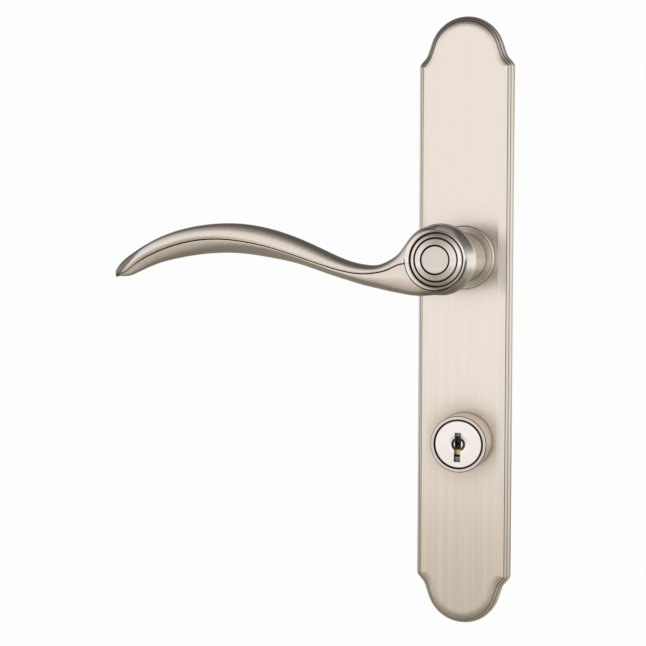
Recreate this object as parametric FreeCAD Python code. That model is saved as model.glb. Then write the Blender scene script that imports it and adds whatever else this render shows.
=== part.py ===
"""Outside trim of a storm and screen door latch: long plate, wave lever and key cylinder.

Millimetres. X is to the right seen from outside, Y runs into the door and Z is up.
The origin is the centre of the plate in its back plane, so a height above the door
is a negative Y. Heights are called `height` here and always count out of the door.
"""
import FreeCAD, Part
import math
import os

# Plate outline
PLATE_HALF_HEIGHT = 114.85
PLATE_HALF_WIDTH = 17.9
DOME_RADIUS = 14.1
FLANK_SLANT = 18.6
FLANK_LENGTH = 4.5
COVE_RADIUS = 5.0
SHOULDER_SLOPE = 49.0
CORNER_RADIUS = 2.6
CORNER_MITRE = 0.1

# Plate section: side wall, two sloping bands between fine lines, and the rolled field
FIELD_HEIGHT = 5.8
EDGE_WALL = 2.0
BAND_COUNT = 2
BAND_WIDTH = 0.8
BAND_RISE = 1.1
BAND_BULGE = 0.08
LINE_WIDTH = 0.1
LINE_DEPTH = 0.15
FIELD_ROLL = 3.0
ROLL_STEPS = 5
FACE_WALL = 1.6
RIM_WIDTH = 2.8
GASKET_WIDTH = 1.3
GASKET_DEPTH = 1.0

# Posts that take the screws from the inside of the door
POST_INSET = 22.85
POST_RADIUS = 4.0
POST_STEM_RADIUS = 2.6
POST_THREAD_RADIUS = 1.75
POST_LENGTH = 20.0
POST_BOSS_RADIUS = 5.4
POST_STEM_DEPTH = 3.9
POST_THREAD_END = 2.4

# Rose: the round boss the lever turns in
LEVER_AXIS_Z = 24.6
ROSE_RADIUS = 11.85
ROSE_RISE = 1.8
ROSE_STEP = 0.5
ROSE_LAND = 1.05
ROSE_CHAMFER = 0.4
ROSE_EDGE = 0.12
ROSE_CAVITY_GAP = 0.9
ROSE_WALL = 1.4

# Lever hub: heights of its front count from the rim
RIM_HEIGHT = 56.3
RIM_OUTER_RADIUS = 10.3
RIM_FLARE = 1.0
RIM_FLARE_THICKNESS = 1.6
HUB_RISE = 2.4
DISC_RADIUS = 4.8
DISC_CROWN = 0.25
GROOVE_DEPTH = 1.1
RING_EDGE = 0.15
RING_SHOULDER = 0.3
LIP_RADIUS = 12.5
LIP_DROP = 8.1
LIP_THICKNESS = 1.0
LIP_ROUND = 0.3
COVE_DEPTH = 0.45
NECK_RADIUS = 9.05
NECK_WAIST = 8.4
NECK_FLARE = 1.2
NECK_FLARE_DROP = 1.0
NECK_WAIST_DROP = 3.2
NECK_GAP = 0.3
JOURNAL_RADIUS = 6.5
JOURNAL_END = 0.5

# Rings of the hub's front, from the disc outwards. Each row gives: inner radius,
# outer radius, and how far the inner and the outer edge stand over the rim.
HUB_RINGS = (
    (5.2, 7.4, 2.3, 1.1),
    (7.8, 9.2, 1.2, 0.1),
    (9.65, RIM_OUTER_RADIUS, 0.4, -0.1),
)

# Lever arm, from the hub to the tip
LEVER_REACH = 124.4
ARM_ROOT = 10.7
ARM_OVERLAP = 0.5
ARM_FLUSH = 0.08
CREASE_STEP = 0.35
CREASE_WIDTH = 0.45
CREASE_DEPTH = 0.6
CREASE_FULL_THICKNESS = 8.0
CREASE_FULL_BELLY = 2.4
RIBBON_ROLL = 0.16
BELLY_TURN = 0.74
BELLY_TURN_LOSS = 0.28
BELLY_TURN_SHARE = 0.45

# Outline of an arm section: depths as shares of its thickness, places as shares of its width
RIBBON_SWELL = 0.05
RIBBON_SWELL_PLACE = 0.58
TOP_DEPTH = 0.46
BACK_UPPER = (0.88, 0.24)
BACK_LOWER = (0.90, 0.22)
BOTTOM_DEPTH = 0.54
BELLY_DEPTH = 0.10
ARM_PARAMETERS = (0.0, 0.10, 0.24, 0.38, 0.50, 0.62, 0.76, 0.90, 1.0)

# Square spindle and its cross pin
SPINDLE_SIDE = 6.35
SPINDLE_SLACK = 0.05
SPINDLE_SOCKET = 30.0
SPINDLE_REACH = 38.0
SPINDLE_TIP_GAP = 0.5
SPINDLE_CHAMFER = 0.5
PIN_RADIUS = 1.0
PIN_HEIGHT = 4.6
PIN_INSET = 0.2

# Bush, washer, cam and ring under the rose
BUSH_WALL = 1.1
BUSH_FLANGE_LIP = 0.25
BUSH_FLANGE = 0.6
BUSH_END = 3.2
RUNNING_FIT = 0.03
FIXED_FIT = 0.05
WASHER_LAND = 1.5
WASHER_THICKNESS = 0.4
CAM_LAND = 2.5
CAM_THICKNESS = 1.0
CAM_ARM_WIDTH = 4.0
CAM_LUG_LENGTH = 2.4
CAM_LUG_WIDTH = 2.6
CAM_LUG_RISE = 1.3
JOURNAL_FLAT_DEPTH = 1.3
RING_GROOVE_DEPTH = 0.8
RING_LAND = 1.7
RING_THICKNESS = 0.7
RING_MOUTH = 5.0
STACK_GAP = 0.05

# Return spring and its stops
WIRE_RADIUS = 0.4
COIL_GAP = 0.65
COIL_TURNS = 2.0
COIL_PITCH = 0.9
ANCHOR_WIDTH = 1.2
STOP_RADIUS = 1.4
STOP_GAP = 1.35
LEVER_TRAVEL = 40.0
STOP_GAP_ANGLE = 0.8

# Cover over the spring
COVER_WIDTH = 27.0
COVER_HEIGHT = 38.0
COVER_THICKNESS = 0.8
COVER_RECESS = 0.1
COVER_CORNER = 3.0
COVER_HOLE_GAP = 0.6
COVER_SCREW_OFFSET = 15.0
COVER_SCREW_RADIUS = 1.25
COVER_SCREW_LENGTH = 3.2
COVER_BOSS_RADIUS = 2.6
SCREW_HEAD_RADIUS = 2.3
SCREW_HEAD_SINK = 0.6
SCREW_HEAD_RIM = 0.1
SCREW_SLOT_WIDTH = 0.6
SCREW_SLOT_DEPTH = 0.35

# Key cylinder
KEY_AXIS_X = 1.07
KEY_AXIS_Z = -44.3
COLLAR_WALL = 1.33
COLLAR_HEIGHT = 19.3
COLLAR_EDGE = 0.3
COLLAR_EDGE_BULGE = 0.08
FACE_LAND = 1.3
FACE_GAP = 0.47
FACE_DROP = 0.1
FACE_CHAMFER = 0.15
FACE_THICKNESS = 2.0
BARREL_WALL = 1.9
BARREL_END = -12.0
PLUG_RADIUS = 7.4
PLUG_END = -17.0
CLIP_GROOVE_DEPTH = 0.8
CLIP_LAND = 3.5
CLIP_THICKNESS = 1.2
CLIP_PAD = 0.4
CLIP_MOUTH_SHARE = 0.93
KEYWAY_WIDTH = 2.4
KEYWAY_TOP = 4.3
KEYWAY_BOTTOM = 6.6
KEYWAY_UPPER_X = -0.13
KEYWAY_LOWER_X = -0.45
KEYWAY_JOG_Z = -1.7
KEYWAY_END = -6.0
BLADE_TOP = 2.95
BLADE_BOTTOM = 4.8
KEY_POCKET_DEPTH = 1.6
KEY_RING_INNER = 1.8
KEY_RING_OUTER = 2.5
KEY_RING_DEPTH = 1.1
KEY_CORE_DROP = 0.25
DISH_RADIUS = 3.67
DISH_DEPTH = 0.1

# Wafers and their springs
WAFER_COUNT = 5
WAFER_FIRST = 15.5
WAFER_PITCH = 3.4
WAFER_THICKNESS = 0.8
WAFER_WIDTH = 5.6
WAFER_HEAD_INSET = 1.1
WAFER_FOOT = 4.25
WAFER_SLACK = 0.1
WAFER_TRAVEL = 1.3
WAFER_EAR = 1.7
WAFER_EAR_BASE = 1.2
WAFER_EAR_TOP = 2.6
WINDOW_HALF_WIDTH = 1.6
WINDOW_TOP = 3.4
WINDOW_BOTTOMS = (-2.4, -3.3, -2.7, -3.1, -2.6)
POCKET_X = 3.9
POCKET_RADIUS = 0.75
POCKET_FLOOR = -2.6
WAFER_SPRING_RADIUS = 0.6
WAFER_SPRING_WAIST = 0.75
WAFER_SPRING_COILS = 5
LOCK_GROOVE_DEPTH = 0.9

# Tailpiece behind the cylinder
TAIL_WIDTH = 6.0
TAIL_THICKNESS = 1.5
TAIL_REACH = 42.0
TAIL_SEAT = 3.6
TAIL_PIN_RADIUS = 0.8
PLUG_CLIP_GROOVE_DEPTH = 1.0
PLUG_CLIP_LAND = 1.6
PLUG_CLIP_THICKNESS = 0.8
PLUG_CLIP_MOUTH = 9.7

# Sections of the lever arm from the hub outwards. Each row gives: share of the way from
# the rim to the tip, height of the top edge over the axis, width of the ribbon down to
# the crease, width of the belly below it, set-back of the front, and thickness.
ARM_SECTIONS = (
    (-0.138, 9.0, 10.6, 7.8, 0.0, 7.6),
    (-0.107, 10.3, 12.4, 9.4, 0.0, 8.1),
    (-0.081, 10.9, 13.1, 10.0, 0.0, 8.3),
    (-0.055, 11.1, 13.3, 10.3, 0.0, 8.5),
    (-0.030, 10.1, 11.7, 11.0, 0.0, 8.6),
    (-0.004, 7.3, 8.5, 11.2, 0.0, 8.6),
    (0.027, 2.4, 4.1, 10.2, 0.0, 8.6),
    (0.059, -0.35, 3.05, 7.9, 0.1, 8.6),
    (0.092, -1.9, 2.5, 6.1, 0.2, 8.6),
    (0.130, -2.0, 2.9, 4.7, 0.4, 8.6),
    (0.187, -0.7, 3.7, 3.5, 0.8, 8.7),
    (0.265, 2.8, 5.0, 3.1, 1.4, 8.9),
    (0.351, 6.95, 6.05, 3.1, 2.0, 9.2),
    (0.450, 10.5, 6.3, 4.1, 2.8, 9.5),
    (0.551, 12.4, 6.0, 4.8, 3.6, 9.6),
    (0.656, 12.3, 5.3, 5.4, 4.6, 9.5),
    (0.763, 10.3, 5.1, 5.2, 6.0, 8.9),
    (0.871, 5.9, 4.9, 4.2, 8.0, 7.2),
    (0.926, 2.4, 4.8, 3.5, 9.2, 5.8),
    (0.962, -0.3, 4.8, 2.1, 10.2, 4.3),
    (0.984, -2.4, 3.7, 1.1, 11.0, 3.2),
    (1.000, -4.9, 1.9, 0.8, 11.7, 1.8),
)

# Sizes worked out from those above: round the journal, and round the plug
POST_SPACING = 2 * (PLATE_HALF_HEIGHT - POST_INSET)
BUSH_RADIUS = JOURNAL_RADIUS + BUSH_WALL
COIL_RADIUS = BUSH_RADIUS + COIL_GAP + WIRE_RADIUS
BUSH_FLANGE_RADIUS = COIL_RADIUS + WIRE_RADIUS + BUSH_FLANGE_LIP
ROSE_CAVITY_RADIUS = BUSH_FLANGE_RADIUS + ROSE_CAVITY_GAP
CAM_ARM_REACH = COIL_RADIUS + WIRE_RADIUS + STOP_GAP + 2 * STOP_RADIUS
WASHER_RADIUS = JOURNAL_RADIUS + WASHER_LAND
CAM_RADIUS = JOURNAL_RADIUS + CAM_LAND
JOURNAL_FLAT = JOURNAL_RADIUS - JOURNAL_FLAT_DEPTH
RING_GROOVE_RADIUS = JOURNAL_RADIUS - RING_GROOVE_DEPTH
RING_RADIUS = JOURNAL_RADIUS + RING_LAND
COVER_HOLE_RADIUS = RING_RADIUS + COVER_HOLE_GAP
FACE_RADIUS = PLUG_RADIUS + FACE_LAND
COLLAR_RADIUS = FACE_RADIUS + FACE_GAP + COLLAR_WALL
BARREL_RADIUS = PLUG_RADIUS + BARREL_WALL
CLIP_GROOVE_RADIUS = BARREL_RADIUS - CLIP_GROOVE_DEPTH
CLIP_RADIUS = BARREL_RADIUS + CLIP_LAND
WAFER_HEAD = PLUG_RADIUS - WAFER_HEAD_INSET
LOCK_GROOVE_REACH = PLUG_RADIUS + LOCK_GROOVE_DEPTH
PLUG_CLIP_GROOVE = PLUG_RADIUS - PLUG_CLIP_GROOVE_DEPTH
PLUG_CLIP_RADIUS = PLUG_RADIUS + PLUG_CLIP_LAND
ROSE_TOP = FIELD_HEIGHT + ROSE_RISE
CEILING = FIELD_HEIGHT - FACE_WALL
CLIP_SEAT = CEILING - CLIP_PAD
HUB_HEIGHT = RIM_HEIGHT + HUB_RISE
LIP_HEIGHT = RIM_HEIGHT - LIP_DROP
ROSE_CEILING = ROSE_TOP - ROSE_WALL
NECK_FOOT = ROSE_TOP + NECK_GAP
WASHER_TOP = BUSH_END - STACK_GAP
CAM_TOP = WASHER_TOP - WASHER_THICKNESS - STACK_GAP
RING_TOP = CAM_TOP - CAM_THICKNESS - STACK_GAP
COVER_TOP = COVER_RECESS + COVER_THICKNESS
RIGHT_ANGLE = 90.0
HALF_TURN = 180.0
THREE_QUARTERS = 270.0
FULL_TURN = 360.0
CUT_MARGIN = 1.0
OUTWARD = FreeCAD.Vector(0, -1, 0)
TO_DOOR = FreeCAD.Vector(0, 1, 0)


def at(x, height, z):
    """Point at a height above the door."""
    return FreeCAD.Vector(x, -height, z)


def post(x, z, radius, low, high):
    """Round bar between two heights."""
    return Part.makeCylinder(radius, high - low, at(x, low, z), OUTWARD)


def block(x_range, height_range, z_range):
    """Box given by its ranges, heights counting out of the door."""
    x, low, z = x_range[0], height_range[1], z_range[0]
    size = [abs(pair[1] - pair[0]) for pair in (x_range, height_range, z_range)]
    return Part.makeBox(size[0], size[1], size[2], at(x, low, z))


def section_edge(start, end, bulge):
    """Line, or an arc that bulges to the left of its travel."""
    if not bulge:
        return Part.LineSegment(start, end).toShape()
    middle = (start + end) / 2
    travel = end - start
    side = travel.cross(FreeCAD.Vector(0, 0, 1))
    side.normalize()
    return Part.Arc(start, middle - side * bulge, end).toShape()


def turned(profile, x, z):
    """Solid of revolution about an axis along Y. Rows are (radius, height[, bulge])."""
    corners = [FreeCAD.Vector(row[0], -row[1], 0) for row in profile]
    bulges = [row[2] if len(row) > 2 else 0.0 for row in profile]
    edges = []
    for index, corner in enumerate(corners):
        edges.append(section_edge(corners[index - 1], corner, bulges[index]))
    face = Part.Face(Part.Wire(edges))
    solid = face.revolve(FreeCAD.Vector(0, 0, 0), TO_DOOR, FULL_TURN)
    solid.translate(FreeCAD.Vector(x, 0, z))
    return solid


def fused(shapes):
    """All shapes as one clean solid."""
    whole = shapes[0].multiFuse(shapes[1:])
    return whole.removeSplitter()


def polar(radius, degrees):
    """Place on a circle seen from outside, in X and Z."""
    turn = math.radians(degrees)
    return radius * math.cos(turn), radius * math.sin(turn)


def arc_point(centre, radius, degrees):
    x, z = polar(radius, degrees)
    return centre[0] + x, centre[1] + z


def quarter_points(inset):
    """Corners and arc middles of the upper right quarter of the outline, from the dome down."""
    dome = (0.0, PLATE_HALF_HEIGHT - DOME_RADIUS)
    dome_end = arc_point(dome, DOME_RADIUS - inset, FLANK_SLANT)
    slant, slope = math.radians(FLANK_SLANT), math.radians(SHOULDER_SLOPE)
    flank_end = (dome_end[0] + FLANK_LENGTH * math.sin(slant), dome_end[1] - FLANK_LENGTH * math.cos(slant))
    cove = arc_point(flank_end, COVE_RADIUS + inset, FLANK_SLANT)
    cove_radius = COVE_RADIUS + inset
    cove_start, cove_end = FLANK_SLANT + HALF_TURN, THREE_QUARTERS - SHOULDER_SLOPE
    foot = arc_point(cove, cove_radius, cove_end)
    radius = max(CORNER_RADIUS - inset, CORNER_MITRE)
    side = PLATE_HALF_WIDTH - inset
    run = (side - radius + radius * math.sin(slope) - foot[0]) / math.cos(slope)
    shoulder = (foot[0] + run * math.cos(slope), foot[1] - run * math.sin(slope))
    corner_turn = RIGHT_ANGLE - SHOULDER_SLOPE
    corner = arc_point(shoulder, -radius, corner_turn)
    return (
        dome_end,
        flank_end,
        arc_point(cove, cove_radius, (cove_start + cove_end) / 2),
        foot,
        shoulder,
        arc_point(corner, radius, corner_turn / 2),
        arc_point(corner, radius, 0.0),
    )


def plate_wire(inset, height):
    """Closed outline of the plate, moved inwards by an inset."""
    points = quarter_points(inset)

    def place(index, side, end):
        return at(side * points[index][0], height, end * points[index][1])

    def quarter(side, end):
        spots = [place(index, side, end) for index in range(len(points))]
        return [
            Part.LineSegment(spots[0], spots[1]).toShape(),
            Part.Arc(spots[1], spots[2], spots[3]).toShape(),
            Part.LineSegment(spots[3], spots[4]).toShape(),
            Part.Arc(spots[4], spots[5], spots[6]).toShape(),
        ]

    def dome(end):
        apex = at(0, height, end * (PLATE_HALF_HEIGHT - inset))
        return Part.Arc(place(0, -end, end), apex, place(0, end, end)).toShape()

    def flank(side):
        return Part.LineSegment(place(-1, side, side), place(-1, side, -side)).toShape()

    edges = [dome(1)] + quarter(1, 1) + [flank(1)] + quarter(1, -1)[::-1]
    edges += [dome(-1)] + quarter(-1, -1) + [flank(-1)] + quarter(-1, 1)[::-1]
    return Part.Wire(edges)


def plate_prism(inset, low, high):
    """Upright-walled solid of the outline between two heights."""
    face = Part.Face(plate_wire(inset, low))
    return face.extrude(OUTWARD * (high - low))


def moulding_levels():
    """Inset and height of each line of the moulded edge, from the door outwards."""
    levels = [(0.0, 0.0), (0.0, EDGE_WALL)]
    inset, height = LINE_WIDTH, EDGE_WALL + LINE_WIDTH
    for _ in range(BAND_COUNT):
        levels.append((inset, height))
        levels.append((inset + BAND_WIDTH / 2 - BAND_BULGE, height + BAND_RISE / 2 + BAND_BULGE))
        inset, height = inset + BAND_WIDTH, height + BAND_RISE
        levels.append((inset, height))
        levels.append((inset + LINE_WIDTH / 2, height - LINE_DEPTH))
        inset += LINE_WIDTH
    for step in range(ROLL_STEPS + 1):
        turn = math.radians(RIGHT_ANGLE * step / ROLL_STEPS)
        roll = FIELD_ROLL * (1 - math.cos(turn))
        levels.append((inset + roll, height + (FIELD_HEIGHT - height) * math.sin(turn)))
    return levels


def rose():
    """Turned boss round the lever, with a stepped edge."""
    step = ROSE_TOP - ROSE_STEP
    land = ROSE_RADIUS - ROSE_LAND
    return turned(
        [
            (0.0, CEILING),
            (0.0, ROSE_TOP),
            (land - ROSE_EDGE, ROSE_TOP),
            (land, ROSE_TOP - ROSE_EDGE),
            (land, step),
            (ROSE_RADIUS - ROSE_CHAMFER, step),
            (ROSE_RADIUS, step - ROSE_CHAMFER),
            (ROSE_RADIUS, CEILING),
        ],
        0.0,
        LEVER_AXIS_Z,
    )


def stop_angle():
    """Angle between the middle of the cam arm and a stop that it leans on."""
    radius = stop_circle()
    arm = math.asin(CAM_ARM_WIDTH / 2 / radius)
    peg = math.asin(STOP_RADIUS / radius)
    return math.degrees(arm + peg) + STOP_GAP_ANGLE


def stop_circle():
    return CAM_ARM_REACH - STOP_RADIUS


def stops():
    """Two pegs that end the travel of the cam arm."""
    pegs = []
    for angle in (-stop_angle(), LEVER_TRAVEL + stop_angle()):
        x, z = polar(stop_circle(), angle)
        pegs.append(post(x, LEVER_AXIS_Z + z, STOP_RADIUS, RING_TOP, CEILING + CUT_MARGIN))
    return pegs


def spring_anchor():
    """Rib inside the rose that the fixed leg of the spring leans on."""
    low = spring_top() - 2 * WIRE_RADIUS
    rib = block(
        (-ANCHOR_WIDTH, ANCHOR_WIDTH),
        (low, ROSE_CEILING + CUT_MARGIN / 2),
        (BUSH_FLANGE_RADIUS + FIXED_FIT, ROSE_CAVITY_RADIUS + CUT_MARGIN / 2),
    )
    rib.translate(FreeCAD.Vector(-ANCHOR_WIDTH - WIRE_RADIUS - FIXED_FIT, 0, 0))
    rib.rotate(FreeCAD.Vector(0, 0, 0), OUTWARD, leg_angle())
    rib.translate(FreeCAD.Vector(0, 0, LEVER_AXIS_Z))
    return rib


def escutcheon():
    """Die-cast plate: moulded front, open back, bosses, rose and stops."""
    levels = [plate_wire(inset, height) for inset, height in moulding_levels()]
    body = Part.makeLoft(levels, True, True)
    body = body.cut(plate_prism(RIM_WIDTH, -CUT_MARGIN, CEILING))
    body = body.cut(plate_prism(RIM_WIDTH - GASKET_WIDTH - FIXED_FIT, -CUT_MARGIN, GASKET_DEPTH))
    bosses = [rose()]
    for side in (1, -1):
        bosses.append(post(0, side * POST_SPACING / 2, POST_BOSS_RADIUS, 0.0, FIELD_HEIGHT - CUT_MARGIN))
        screw_z = LEVER_AXIS_Z + side * COVER_SCREW_OFFSET
        bosses.append(post(0, screw_z, COVER_BOSS_RADIUS, COVER_TOP, FIELD_HEIGHT - CUT_MARGIN))
    bosses.append(post(KEY_AXIS_X, KEY_AXIS_Z, CLIP_RADIUS, CLIP_SEAT, FIELD_HEIGHT - CUT_MARGIN))
    body = fused([body] + bosses)
    cuts = [post(0, LEVER_AXIS_Z, ROSE_CAVITY_RADIUS, 0.0, ROSE_CEILING)]
    cuts.append(post(0, LEVER_AXIS_Z, BUSH_RADIUS + FIXED_FIT, 0.0, ROSE_TOP + CUT_MARGIN))
    cuts.append(post(KEY_AXIS_X, KEY_AXIS_Z, BARREL_RADIUS + FIXED_FIT, 0.0, FIELD_HEIGHT + CUT_MARGIN))
    stem, shank = POST_STEM_RADIUS + FIXED_FIT, COVER_SCREW_RADIUS + FIXED_FIT
    for side in (1, -1):
        cuts.append(post(0, side * POST_SPACING / 2, stem, -CUT_MARGIN, POST_STEM_DEPTH))
        screw_z = LEVER_AXIS_Z + side * COVER_SCREW_OFFSET
        cuts.append(post(0, screw_z, shank, 0.0, COVER_SCREW_LENGTH + CUT_MARGIN / 2))
    body = body.cut(cuts)
    return fused([body] + stops() + [spring_anchor()])


def gasket():
    """Flat foam seal let into the back of the rim."""
    outer = plate_prism(RIM_WIDTH - GASKET_WIDTH, 0.0, GASKET_DEPTH)
    return outer.cut(plate_prism(RIM_WIDTH, -CUT_MARGIN, GASKET_DEPTH + CUT_MARGIN))


def mounting_post(side):
    """Threaded sleeve screwed into its boss."""
    z = side * POST_SPACING / 2
    stem = post(0, z, POST_STEM_RADIUS, -CUT_MARGIN, POST_STEM_DEPTH)
    sleeve = post(0, z, POST_RADIUS, -POST_LENGTH, 0.0)
    bore = post(0, z, POST_THREAD_RADIUS, -POST_LENGTH - CUT_MARGIN, POST_THREAD_END)
    return fused([stem, sleeve]).cut(bore)


def lever_bushing():
    """Flanged nylon bush that the journal turns in."""
    bore = JOURNAL_RADIUS + RUNNING_FIT
    flange = ROSE_CEILING - BUSH_FLANGE
    return turned(
        [
            (bore, BUSH_END),
            (bore, ROSE_TOP),
            (BUSH_RADIUS, ROSE_TOP),
            (BUSH_RADIUS, ROSE_CEILING),
            (BUSH_FLANGE_RADIUS, ROSE_CEILING),
            (BUSH_FLANGE_RADIUS, flange),
            (BUSH_RADIUS, flange),
            (BUSH_RADIUS, BUSH_END),
        ],
        0.0,
        LEVER_AXIS_Z,
    )


def double_flat(radius, flat, low, high):
    """Round bar with two flats that face left and right, at the lever axis."""
    bar = post(0, LEVER_AXIS_Z, radius, low, high)
    span = (LEVER_AXIS_Z - radius - CUT_MARGIN, LEVER_AXIS_Z + radius + CUT_MARGIN)
    return bar.common(block((-flat, flat), (low - CUT_MARGIN, high + CUT_MARGIN), span))


def thrust_washer():
    outer = post(0, LEVER_AXIS_Z, WASHER_RADIUS, WASHER_TOP - WASHER_THICKNESS, WASHER_TOP)
    inner = JOURNAL_RADIUS + FIXED_FIT
    return outer.cut(post(0, LEVER_AXIS_Z, inner, 0.0, WASHER_TOP + CUT_MARGIN))


def spring_cam():
    """Driver plate keyed to the journal, with an arm and a lug for the spring."""
    low = CAM_TOP - CAM_THICKNESS
    half = CAM_ARM_WIDTH / 2
    disc = post(0, LEVER_AXIS_Z, CAM_RADIUS, low, CAM_TOP)
    arm = block((0, CAM_ARM_REACH), (low, CAM_TOP), (LEVER_AXIS_Z - half, LEVER_AXIS_Z + half))
    lug = block(
        (CAM_ARM_REACH - CAM_LUG_LENGTH, CAM_ARM_REACH),
        (low, CAM_TOP + CAM_LUG_RISE),
        (LEVER_AXIS_Z - CAM_LUG_WIDTH / 2, LEVER_AXIS_Z + CAM_LUG_WIDTH / 2),
    )
    hole = double_flat(JOURNAL_RADIUS + FIXED_FIT, JOURNAL_FLAT + FIXED_FIT, 0.0, CEILING)
    return fused([disc, arm, lug]).cut(hole)


def open_ring(x, z, inner, outer, mouth, low, high, mouth_turn):
    """Retaining ring with an open mouth."""
    ring = post(x, z, outer, low, high).cut(post(x, z, inner, low - CUT_MARGIN, high + CUT_MARGIN))
    gap = block((0, outer + CUT_MARGIN), (low - CUT_MARGIN, high + CUT_MARGIN), (-mouth / 2, mouth / 2))
    gap.rotate(FreeCAD.Vector(0, 0, 0), OUTWARD, mouth_turn)
    gap.translate(FreeCAD.Vector(x, 0, z))
    return ring.cut(gap)


def retaining_ring():
    inner = RING_GROOVE_RADIUS + FIXED_FIT
    low = RING_TOP - RING_THICKNESS
    return open_ring(0, LEVER_AXIS_Z, inner, RING_RADIUS, RING_MOUTH, low, RING_TOP, RIGHT_ANGLE)


def spring_top():
    """Height of the middle of the upper wire."""
    return ROSE_CEILING - BUSH_FLANGE - WIRE_RADIUS - STACK_GAP


def leg_offset():
    """Distance of the moving leg's middle over the middle of the lug."""
    return CAM_LUG_WIDTH / 2 + WIRE_RADIUS + FIXED_FIT


def start_angle():
    return math.degrees(math.asin(leg_offset() / COIL_RADIUS))


def leg_angle():
    """Turn from straight up to the fixed leg."""
    return start_angle() + FULL_TURN * COIL_TURNS % FULL_TURN


def return_spring():
    """Torsion spring: coils round the bush, one leg on the cam's lug, one on the rib."""
    top = spring_top()
    low = top - COIL_TURNS * COIL_PITCH
    helix = Part.makeHelix(COIL_PITCH, COIL_TURNS * COIL_PITCH, COIL_RADIUS)
    start = FreeCAD.Vector(COIL_RADIUS, 0, 0)
    section = Part.Wire(Part.makeCircle(WIRE_RADIUS, start, FreeCAD.Vector(0, 1, 0)))
    coil = Part.Wire(helix.Edges).makePipeShell([section], True, True)
    coil.rotate(FreeCAD.Vector(0, 0, 0), FreeCAD.Vector(1, 0, 0), RIGHT_ANGLE)
    coil.translate(at(0, low, 0))
    turn = start_angle()
    coil.rotate(FreeCAD.Vector(0, 0, 0), OUTWARD, turn)
    x, z = polar(COIL_RADIUS, turn)
    moving = Part.makeCylinder(WIRE_RADIUS, CAM_ARM_REACH - x, at(x, low, z), FreeCAD.Vector(1, 0, 0))
    reach = ROSE_CAVITY_RADIUS - COIL_RADIUS - FIXED_FIT * 3
    fixed = Part.makeCylinder(WIRE_RADIUS, reach, at(0, top, COIL_RADIUS), FreeCAD.Vector(0, 0, 1))
    fixed.rotate(FreeCAD.Vector(0, 0, 0), OUTWARD, leg_angle() - RIGHT_ANGLE)
    spring = fused([coil, moving, fixed])
    spring.translate(FreeCAD.Vector(0, 0, LEVER_AXIS_Z))
    return spring


def cage_cover():
    """Pressed plate that closes the spring's pocket."""
    half = COVER_WIDTH / 2
    span = (LEVER_AXIS_Z - COVER_HEIGHT / 2, LEVER_AXIS_Z + COVER_HEIGHT / 2)
    sheet = block((-half, half), (COVER_RECESS, COVER_TOP), span)
    sheet = sheet.makeFillet(COVER_CORNER, edges_along_y(sheet))
    cuts = [post(0, LEVER_AXIS_Z, COVER_HOLE_RADIUS, -CUT_MARGIN, COVER_TOP + CUT_MARGIN)]
    for side in (1, -1):
        cuts.append(screw_body(side, FIXED_FIT, COVER_RECESS - CUT_MARGIN))
    return sheet.cut(cuts)


def edges_along_y(solid):
    """Edges of a block that run into the door."""
    found = []
    for edge in solid.Edges:
        travel = edge.tangentAt(edge.FirstParameter)
        if abs(travel.y) > abs(travel.x) + abs(travel.z):
            found.append(edge)
    return found


def screw_body(side, slack, low):
    """Countersunk head and shank of one cover screw, or its hole when slack is given."""
    head, shank = SCREW_HEAD_RADIUS + slack, COVER_SCREW_RADIUS + slack
    return turned(
        [
            (0.0, low),
            (head, low),
            (head, COVER_RECESS + SCREW_HEAD_RIM),
            (shank, COVER_RECESS + SCREW_HEAD_SINK),
            (shank, COVER_SCREW_LENGTH),
            (0.0, COVER_SCREW_LENGTH),
        ],
        0.0,
        LEVER_AXIS_Z + side * COVER_SCREW_OFFSET,
    )


def cage_screws():
    """Both countersunk screws of the cover."""
    screws = []
    for side in (1, -1):
        z = LEVER_AXIS_Z + side * COVER_SCREW_OFFSET
        slot = block(
            (-SCREW_HEAD_RADIUS, SCREW_HEAD_RADIUS),
            (COVER_RECESS - CUT_MARGIN, COVER_RECESS + SCREW_SLOT_DEPTH),
            (z - SCREW_SLOT_WIDTH / 2, z + SCREW_SLOT_WIDTH / 2),
        )
        screws.append(screw_body(side, 0.0, COVER_RECESS).cut(slot))
    return Part.makeCompound(screws)


def hub_front():
    """Profile of the hub's front: crowned disc, then rings that step down to the rim."""
    edge = HUB_HEIGHT - DISC_CROWN
    rows = [(0.0, HUB_HEIGHT), (DISC_RADIUS - RING_EDGE, edge, -RING_EDGE)]
    rows.append((DISC_RADIUS, edge - RING_EDGE))
    for inner, outer, inner_rise, outer_rise in HUB_RINGS:
        floor = edge - GROOVE_DEPTH
        inside, edge = RIM_HEIGHT + inner_rise, RIM_HEIGHT + outer_rise
        rows += [(rows[-1][0], floor), (inner, floor)]
        rows += [(inner, inside - RING_EDGE), (inner + RING_EDGE, inside)]
        rows += [(outer - RING_SHOULDER, edge + RING_SHOULDER), (outer, edge)]
    return rows


def hub():
    """Turned hub: ringed front, hollow side, lip and neck."""
    lip_low = LIP_HEIGHT - LIP_THICKNESS / 2
    lip = LIP_RADIUS - LIP_ROUND
    back = [
        (lip, LIP_HEIGHT + LIP_THICKNESS / 2, COVE_DEPTH),
        (lip, lip_low, -COVE_DEPTH),
        (NECK_WAIST + NECK_FLARE, lip_low - NECK_FLARE_DROP),
        (NECK_WAIST, lip_low - NECK_WAIST_DROP, NECK_FLARE / 2),
        (NECK_RADIUS, NECK_FOOT, RING_EDGE),
        (JOURNAL_RADIUS, NECK_FOOT),
        (JOURNAL_RADIUS, JOURNAL_END),
    ]
    return turned([(0.0, JOURNAL_END)] + hub_front() + back, 0.0, LEVER_AXIS_Z)


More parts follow.
